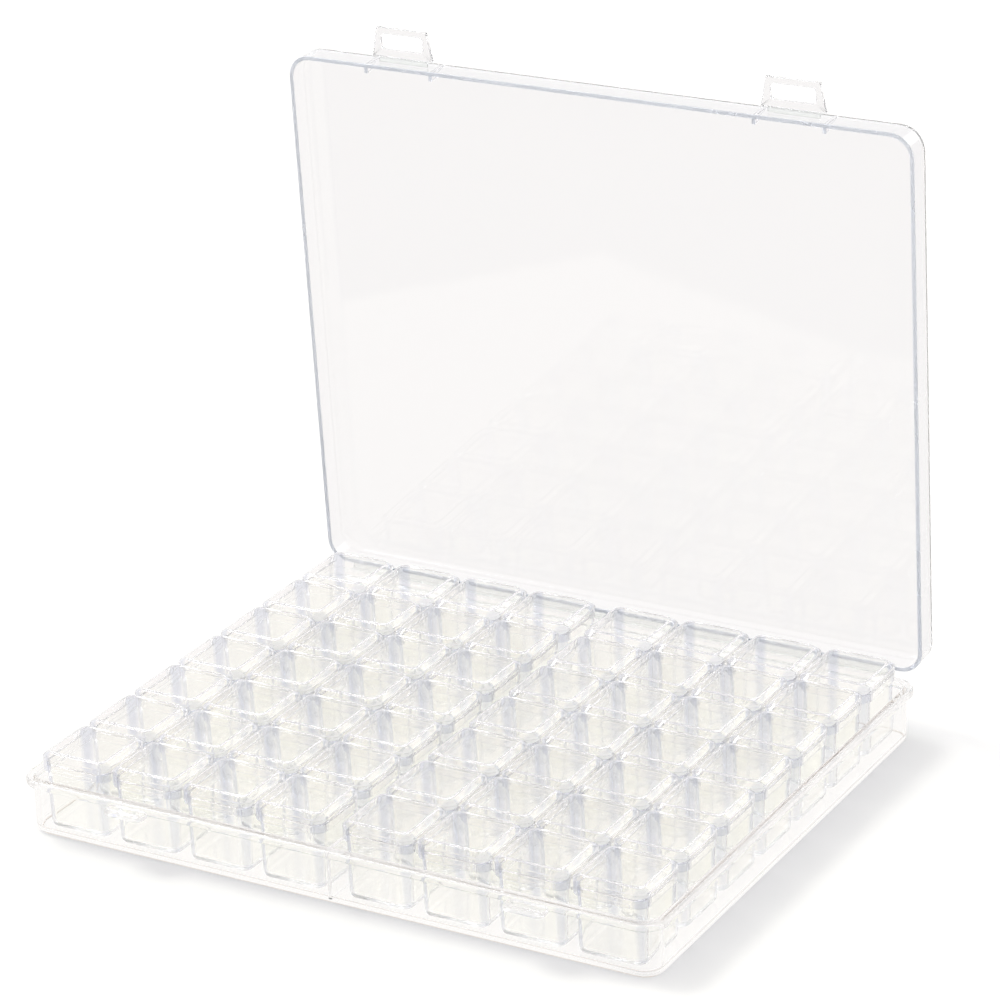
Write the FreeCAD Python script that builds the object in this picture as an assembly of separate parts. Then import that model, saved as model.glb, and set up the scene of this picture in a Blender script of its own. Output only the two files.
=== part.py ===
import FreeCAD, Part
import math
import os

# A clear moulded box for beads: a shallow tray, a hinged case lid with two loop latches, and fourteen
# strips of four small cups, each cup with its own flip lid. All sizes are in millimetres.
# X runs along the front, Y to the back, Z up, and the origin is the middle of the tray's underside.

# Counts
BANKS = ("left", "right")
STRIPS_PER_BANK = 7
CUPS_PER_STRIP = 4
BANK_OF_SINGLE_LIDS = "left"

# Main sizes of the shut case
CASE_WIDTH = 211.9
CASE_DEPTH = 175.0
CASE_HEIGHT = 27.9
TRAY_HEIGHT = 17.8

# Cups
LID_GAP = 0.7
CUP_WALL = 0.9
CUP_FLOOR = 1.2
CUP_DRAFT = 0.6
CUP_CORNER = 3.3
CUP_BOTTOM_BEVEL = 0.9
CUP_BOTTOM_BEVEL_HEIGHT = 1.8
STRIP_WEB_WIDTH = 13.0
STRIP_WEB_THICKNESS = 1.2
STRIP_WEB_DROP = 1.4

# Cup lids
SKIRT_WALL = 0.8
SKIRT_CLEARANCE = 0.15
SKIRT_DROP = 2.3
SKIRT_RISE = 2.0
LID_BEVEL = 2.2
LID_BEVEL_HEIGHT = 1.7
LID_PANEL = 0.9
LID_CORNER_RADIUS = 4.2
LID_FRONT_FACETS = 2
THUMB_LIP_WIDTH = 14.6
THUMB_LIP_REACH = 0.45
THUMB_LIP_HEIGHT = 1.3
CUP_HINGE_CLEARANCE = 0.05

# Tray
TRAY_FLOOR = 1.5
TRAY_WALL = 1.2
TRAY_SEAT_CLEARANCE = 0.1
TRAY_SIDE_CLEARANCE = 2.45
TRAY_END_CLEARANCE = 0.6
TRAY_BOTTOM_BEVEL = 0.7
FOOT_HEIGHT = 0.6
FOOT_INSET = 1.1
FLANGE_REACH = 2.05
FLANGE_HEIGHT = 2.4
FLANGE_EASE = 0.6
CASE_CORNER_RADIUS = 8.0
BANK_GAP = 4.4
PARTITION_THICKNESS = 1.2
PARTITION_SHORTFALL = 0.6

# Catches on the tray's front
LATCH_SIDE_INSET = 39.95
TONGUE_WIDTH = 13.0
TONGUE_REACH = 4.4
TONGUE_THICKNESS = 1.5
TONGUE_DROP = 1.2
TONGUE_CORNER = 2.2
TONGUE_NOSE_BEVEL = 0.8
RIDGE_WIDTH = 0.9
RIDGE_HEIGHT = 0.5
RIDGE_SETBACK = 0.8

# Case lid
CASE_LID_WALL = 1.3
CASE_LID_PANEL = 1.2
CASE_LID_INSET = 0.4
CASE_LID_HEADROOM = 0.7
CASE_LID_EDGE_BEVEL = 1.6
RIM_GAP = 0.1
OPEN_ANGLE = 87.0
GUSSET_THICKNESS = 1.2
GUSSET_REACH = 1.7
GUSSET_SPACING = 22.8

# Film hinge between tray and case lid
FILM_STANDOFF = 0.9
FILM_BEAD_RADIUS = 0.45
FILM_THICKNESS = 0.5
FILM_END_MARGIN = 2.0
HINGE_CLEARANCE = 0.05

# Loop latches
LATCH_HINGE_STANDOFF = 1.1
LATCH_HINGE_DEPTH_SHARE = 0.4
LATCH_FILM_WIDTH = 17.0
LATCH_ROOT_WIDTH = 21.5
LATCH_TIP_WIDTH = 17.5
LATCH_LENGTH = 9.4
LATCH_THICKNESS = 1.4
LATCH_CORNER = 2.4
WINDOW_WIDTH = 14.6
WINDOW_START = 2.5
WINDOW_LENGTH = 4.8
WINDOW_CORNER = 1.2
LATCH_CORNER_FACETS = 3

# Every cut that has to pass right through a face overruns it, and faces and levels this close are taken as one
OVERRUN = 2.0
FACE_TOLERANCE = 0.000002
LEVEL_TOLERANCE = 0.0002

# Sizes worked out from the ones above
STRIP_LENGTH = CASE_WIDTH / 2 - FLANGE_REACH - TRAY_WALL - TRAY_SIDE_CLEARANCE + LID_GAP / 2 - BANK_GAP / 2
CUP_PITCH_X = STRIP_LENGTH / CUPS_PER_STRIP
BANK_DEPTH = CASE_DEPTH - 2 * (FLANGE_REACH + TRAY_WALL + TRAY_END_CLEARANCE) + LID_GAP
CUP_PITCH_Y = BANK_DEPTH / STRIPS_PER_BANK
LID_WIDTH = CUP_PITCH_X - LID_GAP
LID_DEPTH = CUP_PITCH_Y - LID_GAP
CUP_HALF_X = LID_WIDTH / 2 - SKIRT_WALL - SKIRT_CLEARANCE
CUP_FRONT_Y = -LID_DEPTH / 2 + SKIRT_WALL + SKIRT_CLEARANCE
CUP_BACK_Y = LID_DEPTH / 2
CUP_BOTTOM_Z = TRAY_FLOOR + TRAY_SEAT_CLEARANCE
LID_TOP_Z = CASE_HEIGHT - CASE_LID_PANEL - CASE_LID_HEADROOM
CUP_HINGE_Z = LID_TOP_Z - LID_BEVEL_HEIGHT
CUP_RIM_Z = CUP_HINGE_Z - SKIRT_RISE
CUP_HEIGHT = CUP_RIM_Z - CUP_BOTTOM_Z
SKIRT_BOTTOM_Z = CUP_RIM_Z - SKIRT_DROP

FLANGE_HALF_X = CASE_WIDTH / 2
FLANGE_HALF_Y = CASE_DEPTH / 2
TRAY_HALF_X = FLANGE_HALF_X - FLANGE_REACH
TRAY_HALF_Y = FLANGE_HALF_Y - FLANGE_REACH
TRAY_CORNER_RADIUS = CASE_CORNER_RADIUS - FLANGE_REACH

LID_RIM_Z = TRAY_HEIGHT + RIM_GAP
CASE_LID_HALF_X = FLANGE_HALF_X - CASE_LID_INSET
CASE_LID_HALF_Y = FLANGE_HALF_Y - CASE_LID_INSET
CASE_LID_RADIUS = CASE_CORNER_RADIUS - CASE_LID_INSET
FILM_AXIS_Y = FLANGE_HALF_Y + FILM_STANDOFF
FILM_AXIS_Z = TRAY_HEIGHT + RIM_GAP / 2
FILM_LENGTH = 2 * (FLANGE_HALF_X - CASE_CORNER_RADIUS - FILM_END_MARGIN)

LATCH_SPACING = CASE_WIDTH - 2 * LATCH_SIDE_INSET
LATCH_AXIS_Y = -FLANGE_HALF_Y - LATCH_HINGE_STANDOFF
LATCH_AXIS_Z = LID_RIM_Z + LATCH_HINGE_DEPTH_SHARE * (CASE_HEIGHT - LID_RIM_Z)


def vector(x, y, z):
    return FreeCAD.Vector(x, y, z)


def box(x0, x1, y0, y1, z0, z1):
    return Part.makeBox(x1 - x0, y1 - y0, z1 - z0, vector(x0, y0, z0))


def faceted_outline(x0, x1, y0, y1, radius, z, front_facets=1):
    """Corner points of a rectangle whose rounded corners are taken in a few flat facets, one each at the back."""
    points = []
    corners = [(x1 - radius, y1 - radius, 1), (x0 + radius, y1 - radius, 1),
               (x0 + radius, y0 + radius, front_facets), (x1 - radius, y0 + radius, front_facets)]
    for quarter, (cx, cy, facets) in enumerate(corners):
        for step in range(facets + 1):
            turn = math.pi / 2 * (quarter + step / facets)
            points.append(vector(cx + radius * math.cos(turn), cy + radius * math.sin(turn), z))
    return points


def flat_face(points):
    return Part.Face(Part.makePolygon(points + points[:1]))


def stacked_solid(outlines):
    """A closed solid through outlines of equally many points, flat between one and the next."""
    faces = [flat_face(outlines[0]), flat_face(outlines[-1])]
    for low, high in zip(outlines, outlines[1:]):
        for i in range(len(low)):
            k = (i + 1) % len(low)
            faces.append(flat_face([low[i], low[k], high[k], high[i]]))
    solid = Part.Solid(Part.Shell(faces))
    solid.fix(FACE_TOLERANCE, FACE_TOLERANCE, FACE_TOLERANCE)
    return solid if solid.Volume > 0 else solid.reversed()


def rounded_wire(half_x, half_y, radius, z):
    """A rectangle with true round corners, centred on the Z axis."""
    bulge = radius * math.cos(math.pi / 4)
    corners = [(1, 1), (-1, 1), (-1, -1), (1, -1)]
    arcs = []
    for quarter, (sx, sy) in enumerate(corners):
        cx, cy = sx * (half_x - radius), sy * (half_y - radius)
        start = vector(cx + radius * sx, cy, z)
        end = vector(cx, cy + radius * sy, z)
        middle = vector(cx + bulge * sx, cy + bulge * sy, z)
        if quarter % 2:
            start, end = end, start
        arcs.append((start, middle, end))
    edges = []
    for i, (start, middle, end) in enumerate(arcs):
        edges.append(Part.Arc(start, middle, end).toShape())
        edges.append(Part.LineSegment(end, arcs[(i + 1) % len(arcs)][0]).toShape())
    return Part.Wire(edges)


def rounded_block(half_x, half_y, radius, z0, z1):
    return Part.Face(rounded_wire(half_x, half_y, radius, z0)).extrude(vector(0, 0, z1 - z0))


def edges_at(shape, z):
    """The edges that lie wholly at one height."""
    return [e for e in shape.Edges
            if abs(e.BoundBox.ZMin - z) < LEVEL_TOLERANCE and abs(e.BoundBox.ZMax - z) < LEVEL_TOLERANCE]


def bar_along_x(length, radius, y, z):
    return Part.makeCylinder(radius, length, vector(-length / 2, y, z), vector(1, 0, 0))


def cup():
    """One cup standing on its rounded bottom, centred on its cell, with the raised back wall of its hinge."""
    def outline(inset, z):
        narrowing = (CUP_RIM_Z - z) / CUP_HEIGHT * CUP_DRAFT
        x, front = CUP_HALF_X - inset - narrowing, CUP_FRONT_Y + inset + narrowing
        return faceted_outline(-x, x, front, CUP_BACK_Y - inset, CUP_CORNER - inset, z)

    shell = stacked_solid([
        outline(CUP_BOTTOM_BEVEL, CUP_BOTTOM_Z),
        outline(0, CUP_BOTTOM_Z + CUP_BOTTOM_BEVEL_HEIGHT),
        outline(0, CUP_RIM_Z),
        outline(CUP_WALL, CUP_RIM_Z),
        outline(CUP_WALL, CUP_BOTTOM_Z + CUP_FLOOR),
    ])
    half_width = CUP_HALF_X - CUP_CORNER
    raised = box(-half_width, half_width, CUP_BACK_Y - CUP_WALL, CUP_BACK_Y, CUP_RIM_Z - CUP_FLOOR, CUP_HINGE_Z)
    return shell.fuse(raised)


def cup_strip():
    """Four cups in one moulding, held together by short webs below their lids."""
    parts = []
    for column in range(CUPS_PER_STRIP):
        parts.append(cup().translated(vector(cell_offset(column), 0, 0)))
    top = SKIRT_BOTTOM_Z - STRIP_WEB_DROP + STRIP_WEB_THICKNESS
    half_gap = CUP_PITCH_X / 2 - CUP_HALF_X + CUP_DRAFT / 2
    for column in range(CUPS_PER_STRIP - 1):
        x = cell_offset(column) + CUP_PITCH_X / 2
        parts.append(box(x - half_gap, x + half_gap, -STRIP_WEB_WIDTH / 2, STRIP_WEB_WIDTH / 2,
                         top - STRIP_WEB_THICKNESS, top))
    return parts[0].multiFuse(parts[1:]).removeSplitter()


def cup_lid():
    """A cap with a broad bevel, a skirt round the front and sides, and a thumb lip. It hinges at the back edge."""
    half_x, half_y = LID_WIDTH / 2, LID_DEPTH / 2

    def outline(inset, z, front_facets=1):
        x, y, radius = half_x - inset, half_y - inset, LID_CORNER_RADIUS - inset
        return faceted_outline(-x, x, -y, y, radius, z, front_facets)

    outside = stacked_solid([
        outline(0, SKIRT_BOTTOM_Z, LID_FRONT_FACETS),
        outline(0, CUP_HINGE_Z, LID_FRONT_FACETS),
        outline(LID_BEVEL, LID_TOP_Z, LID_FRONT_FACETS),
    ])
    inside = stacked_solid([
        outline(SKIRT_WALL, SKIRT_BOTTOM_Z - OVERRUN),
        outline(SKIRT_WALL, CUP_HINGE_Z - LID_PANEL / 2),
        outline(LID_BEVEL, LID_TOP_Z - LID_PANEL),
    ])
    lip = flat_face([
        vector(-THUMB_LIP_WIDTH / 2, -half_y, SKIRT_BOTTOM_Z),
        vector(-THUMB_LIP_WIDTH / 2, -half_y - THUMB_LIP_REACH, SKIRT_BOTTOM_Z),
        vector(-THUMB_LIP_WIDTH / 2, -half_y, SKIRT_BOTTOM_Z + THUMB_LIP_HEIGHT),
    ]).extrude(vector(THUMB_LIP_WIDTH, 0, 0))
    open_back = box(-half_x - OVERRUN, half_x + OVERRUN, half_y - LID_CORNER_RADIUS, half_y + OVERRUN,
                    SKIRT_BOTTOM_Z - OVERRUN, CUP_HINGE_Z + CUP_HINGE_CLEARANCE)
    return outside.cut(inside).cut(open_back).fuse(lip).removeSplitter()


def tongue(x):
    """A catch that stands forward from the tray under its flange, with a bevelled nose and a ridge on top."""
    back, front = -TRAY_HALF_Y + TRAY_WALL / 2, -FLANGE_HALF_Y - TONGUE_REACH
    top = TRAY_HEIGHT - TONGUE_DROP
    bottom = top - TONGUE_THICKNESS
    ridge = front + RIDGE_SETBACK
    left = x - TONGUE_WIDTH / 2
    profile = flat_face([
        vector(left, back, bottom),
        vector(left, front + TONGUE_NOSE_BEVEL, bottom),
        vector(left, front, bottom + TONGUE_NOSE_BEVEL),
        vector(left, front, top),
        vector(left, ridge, top),
        vector(left, ridge + RIDGE_WIDTH / 2, top + RIDGE_HEIGHT),
        vector(left, ridge + RIDGE_WIDTH, top),
        vector(left, back, top),
    ])
    plan = faceted_outline(left, left + TONGUE_WIDTH, front, back + TONGUE_CORNER, TONGUE_CORNER,
                           bottom - OVERRUN, LATCH_CORNER_FACETS)
    column = flat_face(plan).extrude(vector(0, 0, TONGUE_THICKNESS + RIDGE_HEIGHT + 2 * OVERRUN))
    return profile.extrude(vector(TONGUE_WIDTH, 0, 0)).common(column)


def tray():
    """The open tray: walls on a stepped foot, a thick rim flange, a centre partition and two catches."""
    walls = rounded_block(TRAY_HALF_X, TRAY_HALF_Y, TRAY_CORNER_RADIUS, FOOT_HEIGHT, TRAY_HEIGHT)
    walls = walls.makeChamfer(TRAY_BOTTOM_BEVEL, edges_at(walls, FOOT_HEIGHT))
    foot = rounded_block(TRAY_HALF_X - FOOT_INSET, TRAY_HALF_Y - FOOT_INSET,
                         TRAY_CORNER_RADIUS - FOOT_INSET, 0, TRAY_FLOOR)
    flange = rounded_block(FLANGE_HALF_X, FLANGE_HALF_Y, CASE_CORNER_RADIUS,
                           TRAY_HEIGHT - FLANGE_HEIGHT, TRAY_HEIGHT)
    flange = flange.makeChamfer(FLANGE_EASE, edges_at(flange, TRAY_HEIGHT))
    hollow = rounded_block(TRAY_HALF_X - TRAY_WALL, TRAY_HALF_Y - TRAY_WALL, TRAY_CORNER_RADIUS - TRAY_WALL,
                           TRAY_FLOOR, TRAY_HEIGHT + OVERRUN)
    partition = box(-PARTITION_THICKNESS / 2, PARTITION_THICKNESS / 2, -TRAY_HALF_Y + TRAY_WALL / 2,
                    TRAY_HALF_Y - TRAY_WALL / 2, TRAY_FLOOR / 2, TRAY_HEIGHT - PARTITION_SHORTFALL)
    shell = walls.fuse([foot, flange]).cut(hollow)
    strap = box(-FILM_LENGTH / 2, FILM_LENGTH / 2, FLANGE_HALF_Y - FLANGE_EASE - FILM_THICKNESS, FILM_AXIS_Y,
                FILM_AXIS_Z - FILM_BEAD_RADIUS, FILM_AXIS_Z)
    bead = bar_along_x(FILM_LENGTH, FILM_BEAD_RADIUS, FILM_AXIS_Y, FILM_AXIS_Z)
    catches = [tongue(side * LATCH_SPACING / 2) for side in (-1, 1)]
    return shell.fuse([partition, strap, bead] + catches).removeSplitter()


def gusset(x):
    """A triangular rib in the corner of the case lid's front wall, deepest at the rim."""
    wall_face = -CASE_LID_HALF_Y + CASE_LID_WALL
    root = wall_face - CASE_LID_WALL / 2
    return flat_face([
        vector(x - GUSSET_THICKNESS / 2, root, LID_RIM_Z),
        vector(x - GUSSET_THICKNESS / 2, wall_face + GUSSET_REACH, LID_RIM_Z),
        vector(x - GUSSET_THICKNESS / 2, wall_face, CASE_HEIGHT - CASE_LID_PANEL),
        vector(x - GUSSET_THICKNESS / 2, root, CASE_HEIGHT - CASE_LID_PANEL),
    ]).extrude(vector(GUSSET_THICKNESS, 0, 0))


def case_lid_closed():
    """The case lid as it lies on the tray: a bevelled shell with gussets, hinge film and latch films."""
    outside = rounded_block(CASE_LID_HALF_X, CASE_LID_HALF_Y, CASE_LID_RADIUS, LID_RIM_Z, CASE_HEIGHT)
    outside = outside.makeChamfer(CASE_LID_EDGE_BEVEL, edges_at(outside, CASE_HEIGHT))
    ceiling = CASE_HEIGHT - CASE_LID_PANEL
    inside = rounded_block(CASE_LID_HALF_X - CASE_LID_WALL, CASE_LID_HALF_Y - CASE_LID_WALL,
                           CASE_LID_RADIUS - CASE_LID_WALL, LID_RIM_Z - OVERRUN, ceiling)
    shell = outside.cut(inside)
    added = [gusset(side * LATCH_SPACING / 2 + end * GUSSET_SPACING / 2) for side in (-1, 1) for end in (-1, 1)]
    strap = box(-FILM_LENGTH / 2, FILM_LENGTH / 2, CASE_LID_HALF_Y - CASE_LID_WALL / 2,
                FILM_AXIS_Y - FILM_BEAD_RADIUS / 2, LID_RIM_Z, LID_RIM_Z + FILM_THICKNESS)
    added.append(strap.cut(bar_along_x(FILM_LENGTH + OVERRUN, FILM_BEAD_RADIUS + HINGE_CLEARANCE,
                                       FILM_AXIS_Y, FILM_AXIS_Z)))
    for side in (-1, 1):
        x = side * LATCH_SPACING / 2
        added.append(box(x - LATCH_FILM_WIDTH / 2, x + LATCH_FILM_WIDTH / 2, LATCH_AXIS_Y,
                         -CASE_LID_HALF_Y + CASE_LID_WALL / 2,
                         LATCH_AXIS_Z - FILM_THICKNESS / 2, LATCH_AXIS_Z + FILM_THICKNESS / 2))
        rounded_end = bar_along_x(LATCH_FILM_WIDTH, FILM_THICKNESS / 2, LATCH_AXIS_Y, LATCH_AXIS_Z)
        added.append(rounded_end.translated(vector(x, 0, 0)))
    return shell.fuse(added).removeSplitter()


def latch_closed(x):
    """A loop latch as it stands straight out from the front wall of the closed lid."""
    start = LATCH_AXIS_Y - FILM_THICKNESS / 2 - HINGE_CLEARANCE
    end = start - LATCH_LENGTH
    bottom = LATCH_AXIS_Z - LATCH_THICKNESS / 2
    tip = faceted_outline(x - LATCH_TIP_WIDTH / 2, x + LATCH_TIP_WIDTH / 2, end, start, LATCH_CORNER,
                          bottom, LATCH_CORNER_FACETS)
    front_corners = tip[-2 * (LATCH_CORNER_FACETS + 1):]
    root = [vector(x + LATCH_ROOT_WIDTH / 2, start, bottom), vector(x - LATCH_ROOT_WIDTH / 2, start, bottom)]
    plate = flat_face(root + front_corners).extrude(vector(0, 0, LATCH_THICKNESS))
    window = faceted_outline(x - WINDOW_WIDTH / 2, x + WINDOW_WIDTH / 2, start - WINDOW_START - WINDOW_LENGTH,
                             start - WINDOW_START, WINDOW_CORNER, bottom - OVERRUN, LATCH_CORNER_FACETS)
    return plate.cut(flat_face(window).extrude(vector(0, 0, LATCH_THICKNESS + 2 * OVERRUN)))


def opened(shape):
    """The closed case lid and what it carries, swung back to where the lid stands open."""
    swung = shape.copy()
    swung.rotate(vector(0, FILM_AXIS_Y, FILM_AXIS_Z), vector(-1, 0, 0), OPEN_ANGLE)
    return swung


def cell_offset(column):
    """Where a cup's middle lies along its strip, from the strip's middle."""
    return (column - (CUPS_PER_STRIP - 1) / 2) * CUP_PITCH_X


def strip_place(bank, row):
    """The middle of a strip. Row 0 is at the front."""
    side = 1 if bank == "right" else -1
    x = side * (BANK_GAP / 2 + STRIP_LENGTH / 2)
    return vector(x, (row - (STRIPS_PER_BANK - 1) / 2) * CUP_PITCH_Y, 0)


def export(name, shape):
    shape.exportStep(os.path.join("parts", name + ".step"))


def build():
    os.makedirs("parts", exist_ok=True)
    export("tray", tray())
    export("case_lid", opened(case_lid_closed()))
    for bank, side in (("left", -1), ("right", 1)):
        export("latch_" + bank, opened(latch_closed(side * LATCH_SPACING / 2)))

    strip = cup_strip()
    lid = cup_lid()
    for bank in BANKS:
        for row in range(STRIPS_PER_BANK):
            place = strip_place(bank, row)
            tag = "%s_%d" % (bank, row + 1)
            export("cup_strip_" + tag, strip.translated(place))
            lids = [lid.translated(place + vector(cell_offset(column), 0, 0)) for column in range(CUPS_PER_STRIP)]
            if bank == BANK_OF_SINGLE_LIDS:
                for column, one in enumerate(lids):
                    export("cup_lid_%s_%d" % (tag, column + 1), one)
            else:
                export("cup_lids_" + tag, Part.makeCompound(lids))


build()
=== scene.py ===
import bmesh
import bpy
import math
from mathutils import Matrix, Vector


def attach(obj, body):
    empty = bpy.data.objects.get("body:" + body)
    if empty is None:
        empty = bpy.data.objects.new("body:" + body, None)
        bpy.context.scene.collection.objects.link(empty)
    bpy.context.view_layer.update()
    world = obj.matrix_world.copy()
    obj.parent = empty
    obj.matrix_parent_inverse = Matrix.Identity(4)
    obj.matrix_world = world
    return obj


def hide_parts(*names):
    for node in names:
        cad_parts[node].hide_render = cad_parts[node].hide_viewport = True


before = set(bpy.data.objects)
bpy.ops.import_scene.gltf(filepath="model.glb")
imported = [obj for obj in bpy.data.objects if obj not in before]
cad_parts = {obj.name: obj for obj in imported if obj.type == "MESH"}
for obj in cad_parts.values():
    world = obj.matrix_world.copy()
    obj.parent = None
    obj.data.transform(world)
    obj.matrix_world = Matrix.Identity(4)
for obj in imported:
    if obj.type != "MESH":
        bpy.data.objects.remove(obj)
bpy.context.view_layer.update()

# Tray: one shallow clear tray with a rim flange, a low foot, a partition down the middle and two catches.
# Injection-moulded polypropylene, 1.2 mm thick, so every edge is slightly round and catches the light.
MM = 0.001
CASE_CORNER = 8.0
CORE_X = 97.95
CORE_Y = 79.5
CORNER_STEPS = 10
ARC_STEPS = 4
UPRIGHT_STEPS = 5
EDGE_STEPS = 2
CREASE_ANGLE = math.radians(30)
SHARP_ANGLE = math.radians(35)


def softened(points):
    """The (reach, height) points of a section, with an arc at each point that states a radius."""
    line = []
    for i, (x, z, radius) in enumerate(points):
        here = Vector((x, z))
        if not radius:
            line.append(here)
            continue
        before = (Vector(points[i - 1][:2]) - here).normalized()
        after = (Vector(points[i + 1][:2]) - here).normalized()
        half = before.angle(after) / 2
        reach = radius / math.tan(half)
        middle = here + (before + after).normalized() * radius / math.sin(half)
        start = here + before * reach - middle
        end = here + after * reach - middle
        for step in range(ARC_STEPS + 1):
            line.append(middle + start.slerp(end, step / ARC_STEPS) * radius)
    return line


def moulded(section, core_x, core_y, corner_steps):
    """Sweeps a section round a rectangle with round corners and closes its two open middles."""
    bm = bmesh.new()
    verts = [bm.verts.new((-core_x, -core_y - p.x, p.y)) for p in softened(section)]
    edges = [bm.edges.new(pair) for pair in zip(verts, verts[1:])]
    for quarter in range(4):
        turn = Matrix.Rotation(quarter * math.pi / 2, 3, "Z")
        across, along = (core_y, core_x) if quarter % 2 else (core_x, core_y)
        run = bmesh.ops.extrude_edge_only(bm, edges=edges)["geom"]
        verts = [g for g in run if isinstance(g, bmesh.types.BMVert)]
        edges = [g for g in run if isinstance(g, bmesh.types.BMEdge)]
        bmesh.ops.translate(bm, verts=verts, vec=turn @ Vector((2 * across, 0, 0)))
        spun = bmesh.ops.spin(bm, geom=verts + edges, cent=turn @ Vector((across, -along, 0)),
                              axis=(0, 0, 1), angle=math.pi / 2, steps=corner_steps)["geom_last"]
        edges = [g for g in spun if isinstance(g, bmesh.types.BMEdge)]
    bmesh.ops.remove_doubles(bm, verts=bm.verts, dist=MM / 10)
    bmesh.ops.holes_fill(bm, edges=[e for e in bm.edges if e.is_boundary], sides=0)
    bmesh.ops.recalc_face_normals(bm, faces=bm.faces)
    return bm


def block(bm, low, high, edge, corner=0.0):
    """A closed box with softened edges, and round upright corners if asked for, added to a piece."""
    made = bmesh.ops.create_cube(bm, size=1)["verts"]
    bmesh.ops.scale(bm, verts=made, vec=Vector(high) - Vector(low))
    bmesh.ops.translate(bm, verts=made, vec=(Vector(low) + Vector(high)) / 2)
    if corner:
        around = {e for v in made for e in v.link_edges}
        upright = [e for e in around if abs(e.verts[0].co.z - e.verts[1].co.z) > edge]
        rounded = bmesh.ops.bevel(bm, geom=upright, offset=corner, affect="EDGES", segments=UPRIGHT_STEPS,
                                  profile=0.5, material=-1)
        made = [v for v in made if v.is_valid] + rounded["verts"]
    softened_edges(bm, made, edge)
    return made


def softened_edges(bm, verts, edge):
    """Rounds the sharp edges among these vertices, as a moulding's always are."""
    sharp = [e for e in {e for v in verts for e in v.link_edges} if e.calc_face_angle(0) > CREASE_ANGLE]
    bmesh.ops.bevel(bm, geom=sharp, offset=edge, affect="EDGES", segments=EDGE_STEPS, profile=0.5,
                    material=-1)


def dulled(bm, low, high):
    """Gives the faces between two heights the second material, where an edge is scuffed or left dull."""
    for face in bm.faces:
        if low < face.calc_center_median().z < high:
            face.material_index = 1


def finished(bm, name, materials, body, replaced):
    """Turns a piece in millimetres into a shaded object that rides on its body in place of its CAD node."""
    bmesh.ops.scale(bm, verts=bm.verts, vec=(MM, MM, MM))
    mesh = bpy.data.meshes.new(name)
    bm.to_mesh(mesh)
    bm.free()
    mesh.shade_smooth()
    mesh.set_sharp_from_angle(angle=SHARP_ANGLE)
    for material in materials:
        mesh.materials.append(material)
    piece = bpy.data.objects.new(name, mesh)
    bpy.context.scene.collection.objects.link(piece)
    even = piece.modifiers.new("even_shading", "WEIGHTED_NORMAL")
    even.keep_sharp = True
    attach(piece, body)
    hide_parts(replaced)


def linear(hex_colour):
    """An sRGB hex colour as the linear colour that shaders take."""
    channels = [int(hex_colour[i:i + 2], 16) / 255 for i in (0, 2, 4)]
    return [c / 12.92 if c <= 0.04045 else ((c + 0.055) / 1.055) ** 2.4 for c in channels] + [1.0]


def add_node(tree, kind, links=(), **settings):
    """Adds a node, sets its properties and inputs, and links each (own input, other node, output)."""
    node = tree.nodes.new("ShaderNode" + kind)
    for key, value in settings.items():
        if hasattr(node, key):
            setattr(node, key, value)
        else:
            node.inputs[key.replace("_", " ")].default_value = value
    for own, other, output in links:
        tree.links.new(other.outputs[output], node.inputs[own])
    return node


PLASTIC_IOR = 1.49
FLOW_MARK = 22.0
FLOW_LOW = 0.35
FLOW_HIGH = 0.65
RIPPLE_DEPTH = 0.1
RIPPLE_STRENGTH = 0.35
ROOM_LIGHT_KEPT = "F7F7F8"
BANK_GAP = 4.4
PITCH_X = 24.6
PITCH_Y = 24.0
CORNER_SHADE_FULL_REACH = 3.8
CORNER_SHADE_END_REACH = 4.6


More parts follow.
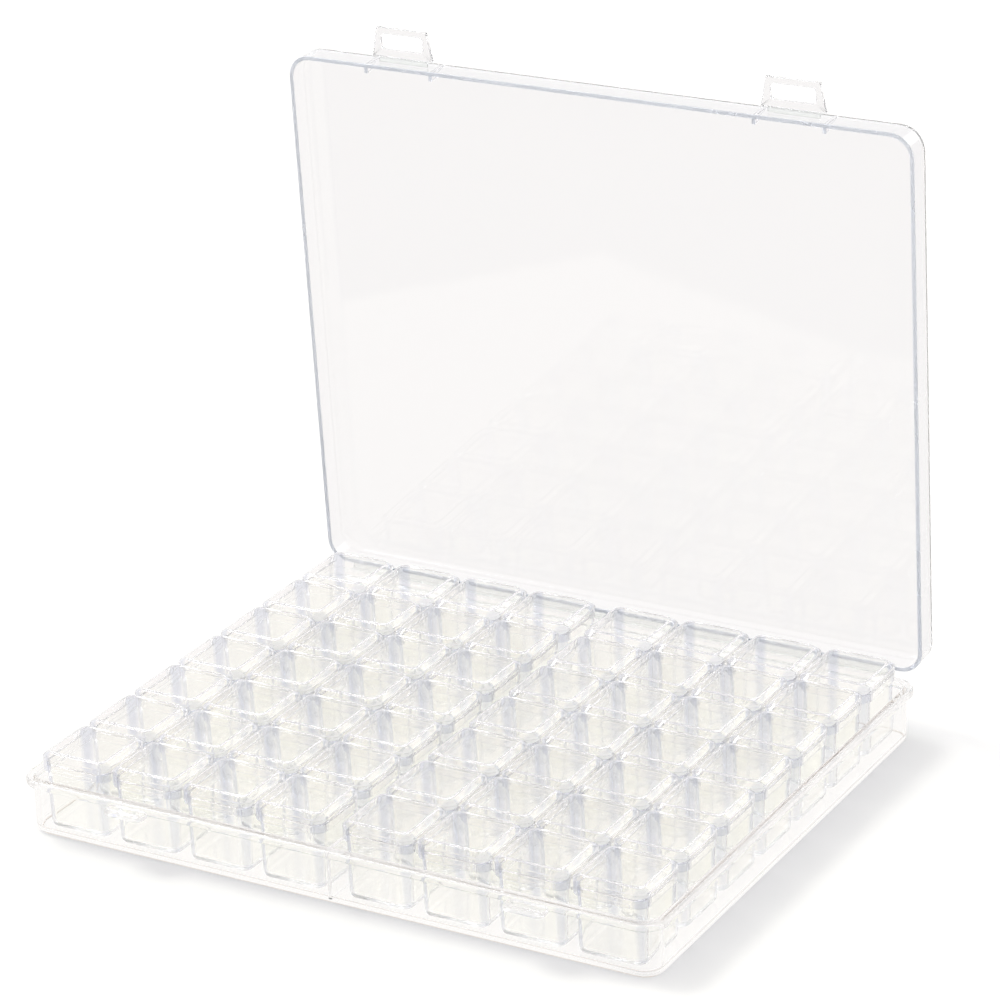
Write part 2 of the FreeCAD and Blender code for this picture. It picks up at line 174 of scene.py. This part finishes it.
def clear_polypropylene(name, tint, haze_share, gloss, shade, painted_corner_shade=None):
    """Clarified polypropylene moulded against polished steel: nearly clear, and faintly rippled."""
    material = bpy.data.materials.new(name)
    material.use_nodes = True
    tree = material.node_tree
    shader = tree.nodes["Principled BSDF"]
    shader.inputs["Base Color"].default_value = linear(tint)
    shader.inputs["Transmission Weight"].default_value = 1.0 - haze_share
    shader.inputs["IOR"].default_value = PLASTIC_IOR
    # The melt cools unevenly in the mould, so gloss drifts over about 20 mm and the face ripples faintly
    place = add_node(tree, "TexCoord")
    drift = add_node(tree, "TexNoise", links=[("Vector", place, "Object")], Scale=1 / (FLOW_MARK * MM),
                     Detail=3.0)
    dull = add_node(tree, "MapRange", links=[("Value", drift, "Fac")], From_Min=FLOW_LOW,
                    From_Max=FLOW_HIGH, To_Min=gloss[0], To_Max=gloss[1])
    ripple = add_node(tree, "Bump", links=[("Height", drift, "Fac")], Strength=RIPPLE_STRENGTH,
                      Distance=RIPPLE_DEPTH * MM)
    tree.links.new(dull.outputs["Result"], shader.inputs["Roughness"])
    tree.links.new(ripple.outputs["Normal"], shader.inputs["Normal"])
    if painted_corner_shade:
        # Painted shade: the upright corners of each cell are painted blue grey, standing in for the dark
        # gaps between neighbouring cups and lids
        apart = add_node(tree, "VectorMath", links=[(0, place, "Object")], operation="ABSOLUTE")
        axes = add_node(tree, "SeparateXYZ", links=[("Vector", apart, "Vector")])
        from_gap = add_node(tree, "Math", links=[(0, axes, "X")], operation="SUBTRACT")
        from_gap.inputs[1].default_value = BANK_GAP / 2 * MM
        across = add_node(tree, "Math", links=[(0, from_gap, 0)], operation="PINGPONG")
        across.inputs[1].default_value = PITCH_X / 2 * MM
        from_row = add_node(tree, "Math", links=[(0, axes, "Y")], operation="ADD")
        from_row.inputs[1].default_value = PITCH_Y / 2 * MM
        along = add_node(tree, "Math", links=[(0, from_row, 0)], operation="PINGPONG")
        along.inputs[1].default_value = PITCH_Y / 2 * MM
        flat = add_node(tree, "CombineXYZ", links=[("X", across, 0), ("Y", along, 0)])
        reach = add_node(tree, "VectorMath", links=[(0, flat, 0)], operation="LENGTH")
        corner_shade_mask = add_node(tree, "MapRange", links=[("Value", reach, "Value")], From_Min=CORNER_SHADE_FULL_REACH * MM,
                         From_Max=CORNER_SHADE_END_REACH * MM, To_Min=1.0, To_Max=0.0, interpolation_type="SMOOTHSTEP")
        corner_shaded = add_node(tree, "Mix", links=[(0, corner_shade_mask, 0)], data_type="RGBA")
        corner_shaded.inputs[6].default_value = linear(tint)
        corner_shaded.inputs[7].default_value = linear(painted_corner_shade)
        tree.links.new(corner_shaded.outputs[2], shader.inputs["Base Color"])
    # Soft room light passes a clear wall almost whole, while a lamp's beam is partly bent away
    path = add_node(tree, "LightPath")
    lit_through = add_node(tree, "Math", links=[(0, path, "Is Shadow Ray"), (1, path, "Is Diffuse Ray")],
                           operation="MAXIMUM")
    kept = add_node(tree, "Mix", links=[(0, path, "Is Shadow Ray")], data_type="RGBA")
    kept.inputs[6].default_value = linear(ROOM_LIGHT_KEPT)
    kept.inputs[7].default_value = linear(shade)
    lets_through = add_node(tree, "BsdfTransparent", links=[("Color", kept, 2)])
    mix = add_node(tree, "MixShader",
                   links=[(0, lit_through, 0), (1, shader, "BSDF"), (2, lets_through, "BSDF")])
    tree.links.new(mix.outputs[0], tree.nodes["Material Output"].inputs["Surface"])
    return material


TRAY_SECTION = [(3.0, 1.5, 0), (4.75, 1.5, 1.2), (4.75, 17.8, 0.4), (8.0, 17.8, 0.9), (8.0, 15.4, 0.7),
                (5.95, 15.4, 0.5), (5.95, 0.6, 0.9), (4.85, 0.6, 0.12), (4.85, 0.0, 0.3), (3.0, 0.0, 0)]
TRAY_SHADE = "D8D8DC"
FOOT_PAINTED_REFLECTION_BAND = (0.02, 0.75)
PARTITION = ((-0.6, -84.6, 1.2), (0.6, 84.6, 17.2))
TRAY_EDGE = 0.3
LATCH_SPACING = 132.0
CATCH_HALF, CATCH_FRONT, CATCH_BACK, CATCH_LOW, CATCH_HIGH = 6.5, -91.9, -86.0, 15.1, 16.6
CATCH_CORNER = 2.2
RIDGE_HALF, RIDGE_FRONT, RIDGE_BACK, RIDGE_LOW, RIDGE_HIGH = 5.4, -91.2, -90.2, 16.3, 17.1
tray_plastic = clear_polypropylene("clear_polypropylene_tray", tint="FFFFFF", haze_share=0.0,
                                   gloss=(0.03, 0.09), shade=TRAY_SHADE)
# The foot has rubbed on tables and is scuffed, and its warm tone is a painted reflection of the paper it
# stands on
scuffed_foot_paper_reflection = clear_polypropylene("scuffed_polypropylene_foot_painted_paper_reflection", tint="F2E4D2", haze_share=0.4,
                                      gloss=(0.4, 0.5), shade=TRAY_SHADE)
tray_bm = moulded(TRAY_SECTION, CORE_X, CORE_Y, CORNER_STEPS)
block(tray_bm, *PARTITION, TRAY_EDGE)
for side in (-1, 1):
    x = side * LATCH_SPACING / 2
    block(tray_bm, (x - CATCH_HALF, CATCH_FRONT, CATCH_LOW), (x + CATCH_HALF, CATCH_BACK, CATCH_HIGH),
          TRAY_EDGE, corner=CATCH_CORNER)
    block(tray_bm, (x - RIDGE_HALF, RIDGE_FRONT, RIDGE_LOW), (x + RIDGE_HALF, RIDGE_BACK, RIDGE_HIGH),
          TRAY_EDGE)
# The foot band takes the scuffed finish with the painted reflection of the paper
dulled(tray_bm, *FOOT_PAINTED_REFLECTION_BAND)
finished(tray_bm, "tray_shell", [tray_plastic, scuffed_foot_paper_reflection], "tray", "tray")

# Film hinge: a thin strip along the back of the tray that bends, with a bead where it meets the case lid.
# Thinned by the mould and worked white by use, so it is a little milky and green along its edge.
HINGE_AXIS = Vector((0, 88.4, 17.85))
FILM_HALF = 95.95
FILM_FRONT, FILM_LOW = 86.6, 17.4
FILM_EDGE = 0.1
BEAD_RADIUS = 0.45
BEAD_SIDES = 12
film_plastic = clear_polypropylene("worked_polypropylene_film", tint="FAFCFA", haze_share=0.08,
                                   gloss=(0.12, 0.15), shade="E4ECE4")
film_bm = bmesh.new()
block(film_bm, (-FILM_HALF, FILM_FRONT, FILM_LOW), (FILM_HALF, HINGE_AXIS.y, HINGE_AXIS.z), FILM_EDGE)
bead = bmesh.ops.create_cone(film_bm, cap_ends=True, segments=BEAD_SIDES, radius1=BEAD_RADIUS,
                             radius2=BEAD_RADIUS, depth=2 * FILM_HALF)
bmesh.ops.rotate(film_bm, verts=bead["verts"], cent=(0, 0, 0), matrix=Matrix.Rotation(math.pi / 2, 3, "Y"))
bmesh.ops.translate(film_bm, verts=bead["verts"], vec=HINGE_AXIS)
finished(film_bm, "tray_hinge_film", [film_plastic], "tray", "tray")

# Cup strips: four small cups in a row, moulded together with short webs between them.
# Polypropylene again, a little warmer, with walls that draw in downwards and a back wall that stands higher.
CUP_SECTION = [(0.1, 2.8, 0), (2.0, 2.8, 1.2), (2.6, 22.3, 0.25), (3.5, 22.3, 0.25), (2.9, 1.6, 1.9),
               (0.1, 1.6, 0)]
CUP_CORE = (7.5, 7.675)
CUP_SET_BACK = 0.475
CUP_STEPS = 5
CUP_RIM = 21.5
BACK_WALL_AT = 1.0
BACK_WALL_RISE = 2.0
ROWS = 7
CUPS_PER_STRIP = 4
WEB_HALF_X, WEB_HALF_Y, WEB_LOW, WEB_HIGH = 1.6, 6.5, 18.6, 19.8
WEB_EDGE = 0.2
# The cups' cell corners get painted shade, a blue grey for the dark gaps between the cups
cup_plastic = clear_polypropylene("clear_polypropylene_cups", tint="FFFFFD", haze_share=0.0,
                                  gloss=(0.05, 0.1), shade="E4E4E8", painted_corner_shade="E0E3EC")


def cell_places(bank, row):
    """The middles of a strip's four cells, in a bank and a row counted from the front."""
    side = 1 if bank == "right" else -1
    middle = side * (BANK_GAP / 2 + 2 * PITCH_X)
    return [Vector((middle + (column - (CUPS_PER_STRIP - 1) / 2) * PITCH_X, (row - ROWS // 2) * PITCH_Y, 0))
            for column in range(CUPS_PER_STRIP)]


def one_cup():
    """A cup round the origin, its back wall raised to where the lid turns."""
    bm = moulded(CUP_SECTION, *CUP_CORE, CUP_STEPS)
    for v in bm.verts:
        if v.co.z > CUP_RIM and v.co.y - CUP_CORE[1] > BACK_WALL_AT:
            v.co.z += BACK_WALL_RISE
    bmesh.ops.translate(bm, verts=bm.verts, vec=(0, CUP_SET_BACK, 0))
    return bm


def copies(make, places):
    """Several copies of one moulding, side by side in one piece."""
    together = bmesh.new()
    single = make()
    mesh = bpy.data.meshes.new("single")
    single.to_mesh(mesh)
    single.free()
    for place in places:
        known = set(together.verts)
        together.from_mesh(mesh)
        bmesh.ops.translate(together, verts=[v for v in together.verts if v not in known], vec=place)
    bpy.data.meshes.remove(mesh)
    return together


for bank in ("left", "right"):
    for row in range(ROWS):
        tag = "%s_%d" % (bank, row + 1)
        places = cell_places(bank, row)
        bm = copies(one_cup, places)
        for a, b in zip(places, places[1:]):
            middle = (a + b) / 2
            block(bm, (middle.x - WEB_HALF_X, middle.y - WEB_HALF_Y, WEB_LOW),
                  (middle.x + WEB_HALF_X, middle.y + WEB_HALF_Y, WEB_HIGH), WEB_EDGE)
        finished(bm, "cups_" + tag, [cup_plastic], "cup_strip_" + tag,
                 "cup_strip_" + tag)

# Cup lids: a cap for each cup with a flat panel, a broad bevel, a skirt that grips the cup and a thumb lip.
# Clear polypropylene, glossy; the lid has no skirt at the back, where it hinges on the cup.
LID_SECTION = [(0.1, 25.1, 0), (1.85, 25.1, 0.5), (3.4, 23.9, 0.5), (3.4, 20.0, 0.2), (4.2, 20.0, 0.4),
               (4.2, 24.3, 0.5), (2.0, 26.0, 0.5), (0.1, 26.0, 0)]
LID_CORE = (7.75, 7.45)
LID_STEPS = 6
HINGE_HEIGHT = 24.35
LIP_HALF = 7.3
LIP_TOP = 21.3
LIP_REACH = 0.45
SKIRT_REACH = 4.2
SKIRT_SLACK = 0.05
FACING_FRONT = -0.9
BACK_FROM = 0.2
# The lids' corners get a paler painted shade, for the darker spots that show at their corners
lid_plastic = clear_polypropylene("clear_polypropylene_cup_lids", tint="FFFEFE", haze_share=0.0,
                                  gloss=(0.03, 0.08), shade="F4F4F6", painted_corner_shade="F0F1F6")


def one_lid():
    """A lid over the origin, open at the back, with its thumb lip pulled out of the front skirt."""
    bm = moulded(LID_SECTION, *LID_CORE, LID_STEPS)
    for v in bm.verts:
        if v.co.y > LID_CORE[1] + BACK_FROM:
            v.co.z = max(v.co.z, HINGE_HEIGHT)
    bmesh.ops.dissolve_degenerate(bm, dist=MM / 10, edges=bm.edges)
    across, upward = (1, 0, 0), (0, 0, 1)
    for co, no in (((LIP_HALF, 0, 0), across), ((-LIP_HALF, 0, 0), across), ((0, 0, LIP_TOP), upward)):
        bmesh.ops.bisect_plane(bm, geom=bm.verts[:] + bm.edges[:] + bm.faces[:], plane_co=co, plane_no=no)
    front = -LID_CORE[1] - SKIRT_REACH
    lip = [f for f in bm.faces if abs(f.calc_center_median().x) < LIP_HALF and f.normal.y < FACING_FRONT
           and f.calc_center_median().y < front + SKIRT_SLACK and f.calc_center_median().z < LIP_TOP]
    pulled = bmesh.ops.extrude_face_region(bm, geom=lip)["geom"]
    bmesh.ops.delete(bm, geom=lip, context="FACES")
    lip_verts = [g for g in pulled if isinstance(g, bmesh.types.BMVert)]
    bmesh.ops.translate(bm, verts=lip_verts, vec=(0, -LIP_REACH, 0))
    return bm


for bank in ("left", "right"):
    for row in range(ROWS):
        tag = "%s_%d" % (bank, row + 1)
        if bank == "left":
            for column, place in enumerate(cell_places(bank, row)):
                name = "%s_%d" % (tag, column + 1)
                finished(copies(one_lid, [place]), "lid_" + name, [lid_plastic], "cup_lid_" + name,
                         "cup_lid_" + name)
        else:
            finished(copies(one_lid, cell_places(bank, row)), "lids_" + tag, [lid_plastic],
                     "cup_lids_" + tag, "cup_lids_" + tag)

# Case lid: a flat shell with a round outer edge, moulded with four small ribs beside the latches.
# Clear polypropylene, glossy on both sides, shown swung back on the film hinge along the tray's rear edge.
CASE_LID_SECTION = [(4.0, 26.7, 0), (6.3, 26.7, 1.4), (6.3, 17.9, 0.3), (7.6, 17.9, 0.3), (7.6, 27.9, 2.4),
                    (4.0, 27.9, 0)]
OPEN_ANGLE = math.radians(87)
RIB_SPACING = 22.8
RIB_HALF, RIB_FRONT, RIB_BACK, RIB_LOW, RIB_HIGH = 0.6, -86.3, -84.1, 17.9, 26.8
RIB_TIP_BACK = -85.7
RIB_EDGE = 0.2
RIM_BAND = (17.8, 18.25)
STRAP_FRONT, STRAP_BACK, STRAP_LOW, STRAP_HIGH = 86.5, 88.1, 17.9, 18.4
WEB_TO_LATCH_HALF = 8.5
LATCH_WEB_FRONT, LATCH_WEB_BACK, LATCH_WEB_LOW, LATCH_WEB_HIGH = -88.7, -86.9, 21.65, 22.15
LATCH_WEB_EDGE = 0.15
CASE_LID_SHADE = "ECECF0"
case_lid_plastic = clear_polypropylene("clear_polypropylene_case_lid", tint="FCFCFD", haze_share=0.03,
                                       gloss=(0.02, 0.06), shade=CASE_LID_SHADE)
# The rim where the mould's halves met is left dull, and it takes the plastic's own blue grey
rim_plastic = clear_polypropylene("dull_polypropylene_case_rim", tint="E6EAF3", haze_share=0.4,
                                  gloss=(0.25, 0.35), shade=CASE_LID_SHADE)


def swung_open(bm):
    """Turns a piece that was made shut to where the photographed lid stands."""
    bmesh.ops.rotate(bm, verts=bm.verts, cent=HINGE_AXIS, matrix=Matrix.Rotation(-OPEN_ANGLE, 3, "X"))


lid_bm = moulded(CASE_LID_SECTION, CORE_X, CORE_Y, CORNER_STEPS)
for side in (-1, 1):
    for end in (-1, 1):
        x = side * LATCH_SPACING / 2 + end * RIB_SPACING / 2
        rib = block(lid_bm, (x - RIB_HALF, RIB_FRONT, RIB_LOW), (x + RIB_HALF, RIB_BACK, RIB_HIGH), 0)
        for v in rib:
            if v.co.z > (RIB_LOW + RIB_HIGH) / 2 and v.co.y > (RIB_FRONT + RIB_BACK) / 2:
                v.co.y = RIB_TIP_BACK
        softened_edges(lid_bm, rib, RIB_EDGE)
dulled(lid_bm, *RIM_BAND)
swung_open(lid_bm)
finished(lid_bm, "case_lid_shell", [case_lid_plastic, rim_plastic], "case_lid",
         "case_lid")

# The case lid's half of the film hinge, and the two short webs that carry the latches
strap_bm = bmesh.new()
block(strap_bm, (-FILM_HALF, STRAP_FRONT, STRAP_LOW), (FILM_HALF, STRAP_BACK, STRAP_HIGH), FILM_EDGE)
for side in (-1, 1):
    x = side * LATCH_SPACING / 2
    block(strap_bm, (x - WEB_TO_LATCH_HALF, LATCH_WEB_FRONT, LATCH_WEB_LOW),
          (x + WEB_TO_LATCH_HALF, LATCH_WEB_BACK, LATCH_WEB_HIGH), LATCH_WEB_EDGE)
swung_open(strap_bm)
finished(strap_bm, "case_lid_films", [film_plastic], "case_lid", "case_lid")

# Loop latches: two stiff loops that fold down over the catches, each on its own short web.
# Moulded in one with the case lid, so the same clear polypropylene, rounded all over.
LATCH_START = -88.9
LATCH_END = -98.3
LATCH_LOW = 21.2
LATCH_THICKNESS = 1.4
LATCH_BACK_HALF, LATCH_FRONT_HALF = 10.6, 8.75
LATCH_CORNERS = (0.3, 2.6)
WINDOW_HALF = 7.3
WINDOW_FROM, WINDOW_TO = 2.5, 2.1
WINDOW_CORNERS = (1.2, 1.2)
LATCH_EDGE = 0.35


def outline(bm, x, y0, y1, half_back, half_front, corner):
    """The edges of a flat four-sided outline whose corners are rounded."""
    ends = ((-half_back, y0), (half_back, y0), (half_front, y1), (-half_front, y1))
    face = bm.faces.new([bm.verts.new((x + across, y, LATCH_LOW)) for across, y in ends])
    corners = [v for v in face.verts if corner[v.co.y == y1]]
    known = set(bm.edges) - set(face.edges)
    for v in corners:
        bmesh.ops.bevel(bm, geom=[v], offset=corner[v.co.y == y1], affect="VERTICES",
                        segments=UPRIGHT_STEPS, profile=0.5, material=-1)
    edges = [e for e in bm.edges if e not in known]
    bmesh.ops.delete(bm, geom=list({f for e in edges for f in e.link_faces}), context="FACES_ONLY")
    return edges


for side, bank in ((-1, "left"), (1, "right")):
    x = side * LATCH_SPACING / 2
    bm = bmesh.new()
    loops = outline(bm, x, LATCH_START, LATCH_END, LATCH_BACK_HALF, LATCH_FRONT_HALF, LATCH_CORNERS)
    loops += outline(bm, x, LATCH_START - WINDOW_FROM, LATCH_END + WINDOW_TO, WINDOW_HALF, WINDOW_HALF,
                     WINDOW_CORNERS)
    plate = bmesh.ops.bridge_loops(bm, edges=loops)["faces"]
    raised = bmesh.ops.extrude_face_region(bm, geom=plate, use_keep_orig=True)["geom"]
    raised_verts = [g for g in raised if isinstance(g, bmesh.types.BMVert)]
    bmesh.ops.translate(bm, verts=raised_verts, vec=(0, 0, LATCH_THICKNESS))
    bmesh.ops.recalc_face_normals(bm, faces=bm.faces)
    softened_edges(bm, bm.verts, LATCH_EDGE)
    swung_open(bm)
    finished(bm, "latch_loop_" + bank, [case_lid_plastic], "latch_" + bank,
             "latch_" + bank)

# Table and light: a white paper sheet on a grey table in a white room, under a soft key light from the left.
# Two weak lights stand behind and overhead. The grey beyond the sheet's corner shows only in reflections,
# and the camera sees white all round. A sheet edge is a direction along the table and a distance in metres.
SHEET_EDGES = (((0.687, 0.727), -0.226), ((-0.339, 0.941), -0.105))
SHEET_EDGE_BLUR = 0.012
TABLE_HALF = 3.0
TABLE_ROUGHNESS = 0.7
PAPER = "FCFBF7"
GREY_TABLE = "8E8E9C"
# Seen through the plastic, the paper glows a faint warm white: a painted warm light
PAPER_WARM_GLOW_THROUGH_PLASTIC = "FFFDFB"
WHITE = "FFFFFF"
WHITE_SHARE = 0.2
ROOM_STRENGTH = 1.0
SOFT_STRENGTH = 0.72
LIGHT_BOUNCES = 128
CLEAR_BOUNCES = 40
LAMPS = (("key", (-1.0, 0.12, 1.3), 22, 1.6, True), ("rim", (0.4, 0.8, 0.5), 30, 0.2, True),
         ("fill", (0.2, 0.3, 1.0), 100, 0.2, False))
floor_bm = bmesh.new()
bmesh.ops.create_grid(floor_bm, x_segments=1, y_segments=1, size=TABLE_HALF)
floor_mesh = bpy.data.meshes.new("table_top")
floor_bm.to_mesh(floor_mesh)
floor_bm.free()
floor = bpy.data.objects.new("table_top", floor_mesh)
bpy.context.scene.collection.objects.link(floor)
floor_white = bpy.data.materials.new("white_paper_on_grey_table")
floor_white.use_nodes = True
tree = floor_white.node_tree
matt = tree.nodes["Principled BSDF"]
matt.inputs["Roughness"].default_value = TABLE_ROUGHNESS
matt.inputs["Specular IOR Level"].default_value = 0.0
path = add_node(tree, "LightPath")
place = add_node(tree, "TexCoord")
off_sheet = None
for (across, along), edge in SHEET_EDGES:
    inside = add_node(tree, "VectorMath", links=[(0, place, "Object")], operation="DOT_PRODUCT")
    inside.inputs[1].default_value = (across, along, 0)
    off = add_node(tree, "MapRange", links=[("Value", inside, "Value")], From_Min=edge - SHEET_EDGE_BLUR,
                   From_Max=edge, To_Min=1.0, To_Max=0.0, interpolation_type="SMOOTHSTEP")
    if off_sheet:
        off = add_node(tree, "Math", links=[(0, off, 0), (1, off_sheet, 0)], operation="MAXIMUM")
    off_sheet = off
mirrored = add_node(tree, "Math", links=[(0, path, "Is Glossy Ray"), (1, path, "Is Transmission Ray")],
                    operation="SUBTRACT")
reflected = add_node(tree, "Math", links=[(0, off_sheet, 0), (1, mirrored, 0)], operation="MULTIPLY")
colour = add_node(tree, "Mix", links=[(0, reflected, 0)], data_type="RGBA")
colour.inputs[6].default_value = linear(PAPER)
colour.inputs[7].default_value = linear(GREY_TABLE)
tree.links.new(colour.outputs[2], matt.inputs["Base Color"])
# The sheet is lit from all round, so it glows in part as plain white, and the more so through the plastic's
# walls, where the glow is a painted warm tone for light bounced off the paper
on_sheet = add_node(tree, "Math", links=[(1, reflected, 0)], operation="SUBTRACT")
on_sheet.inputs[0].default_value = 1.0
through = add_node(tree, "Math", links=[(0, path, "Is Glossy Ray"), (1, on_sheet, 0)], operation="MULTIPLY")
share = add_node(tree, "Math", links=[(0, path, "Is Camera Ray"), (2, through, 0)], operation="MULTIPLY_ADD")
share.inputs[1].default_value = WHITE_SHARE
share.use_clamp = True
glow_tones = add_node(tree, "Mix", links=[(0, path, "Is Camera Ray")], data_type="RGBA")
glow_tones.inputs[6].default_value = linear(PAPER_WARM_GLOW_THROUGH_PLASTIC)
glow_tones.inputs[7].default_value = linear(WHITE)
white = add_node(tree, "Emission", links=[("Color", glow_tones, 2)], Strength=1.0)
shown = add_node(tree, "MixShader", links=[(0, share, 0), (1, matt, "BSDF"), (2, white, 0)])
tree.links.new(shown.outputs[0], tree.nodes["Material Output"].inputs["Surface"])
floor_mesh.materials.append(floor_white)

# The room is an even white, a little weaker on matt faces, and it isn't sampled as a lamp
world = bpy.data.worlds.new("studio")
bpy.context.scene.world = world
world.use_nodes = True
tree = world.node_tree
path = add_node(tree, "LightPath")
room = add_node(tree, "Background", Color=linear(WHITE), Strength=ROOM_STRENGTH)
soft = add_node(tree, "Background", Color=linear(WHITE), Strength=SOFT_STRENGTH)
chosen = add_node(tree, "MixShader", links=[(0, path, "Is Diffuse Ray"), (1, room, 0), (2, soft, 0)])
tree.links.new(chosen.outputs[0], tree.nodes["World Output"].inputs["Surface"])
world.cycles.sampling_method = "NONE"

# Each lamp's name, the direction it shines from, its width in degrees, its strength and whether it glints
for name, direction, angle, strength, glints in LAMPS:
    lamp_data = bpy.data.lights.new(name, "SUN")
    lamp_data.angle = math.radians(angle)
    lamp_data.energy = strength
    lamp_data.cycles.use_multiple_importance_sampling = glints
    lamp = bpy.data.objects.new(name, lamp_data)
    bpy.context.scene.collection.objects.link(lamp)
    lamp.rotation_euler = Vector(direction).to_track_quat("Z", "Y").to_euler()

scene = bpy.context.scene
scene.view_settings.view_transform = "Standard"
scene.cycles.max_bounces = LIGHT_BOUNCES
scene.cycles.glossy_bounces = LIGHT_BOUNCES
scene.cycles.transmission_bounces = LIGHT_BOUNCES
scene.cycles.transparent_max_bounces = CLEAR_BOUNCES
scene.cycles.caustics_refractive = False
scene.cycles.caustics_reflective = False

# Camera: at the photograph's angle, from the right of the front and slightly above, as fitted to the corners
# of the cup lids and of the case lid. Lengths are in millimetres, and how far it sees is in metres.
AZIMUTH = math.radians(30.09)
ELEVATION = math.radians(22.46)
ROLL = math.radians(-1.98)
DISTANCE = 1225.7
TARGET = Vector((-6.2, 29.5, 79.7))
LENS = 147.5
SENSOR = 36
FARTHEST = 20
camera_data = bpy.data.cameras.new("camera")
camera_data.lens = LENS
camera_data.sensor_width = SENSOR
camera_data.clip_end = FARTHEST
camera = bpy.data.objects.new("camera", camera_data)
scene.collection.objects.link(camera)
towards = Vector((math.sin(AZIMUTH) * math.cos(ELEVATION), -math.cos(AZIMUTH) * math.cos(ELEVATION),
                  math.sin(ELEVATION)))
right = Vector((math.cos(AZIMUTH), math.sin(AZIMUTH), 0))
up = towards.cross(right)
rolled_right = math.cos(ROLL) * right + math.sin(ROLL) * up
rolled_up = math.cos(ROLL) * up - math.sin(ROLL) * right
pose = Matrix((rolled_right, rolled_up, towards)).transposed().to_4x4()
pose.translation = (TARGET + DISTANCE * towards) * MM
camera.matrix_world = pose
scene.camera = camera
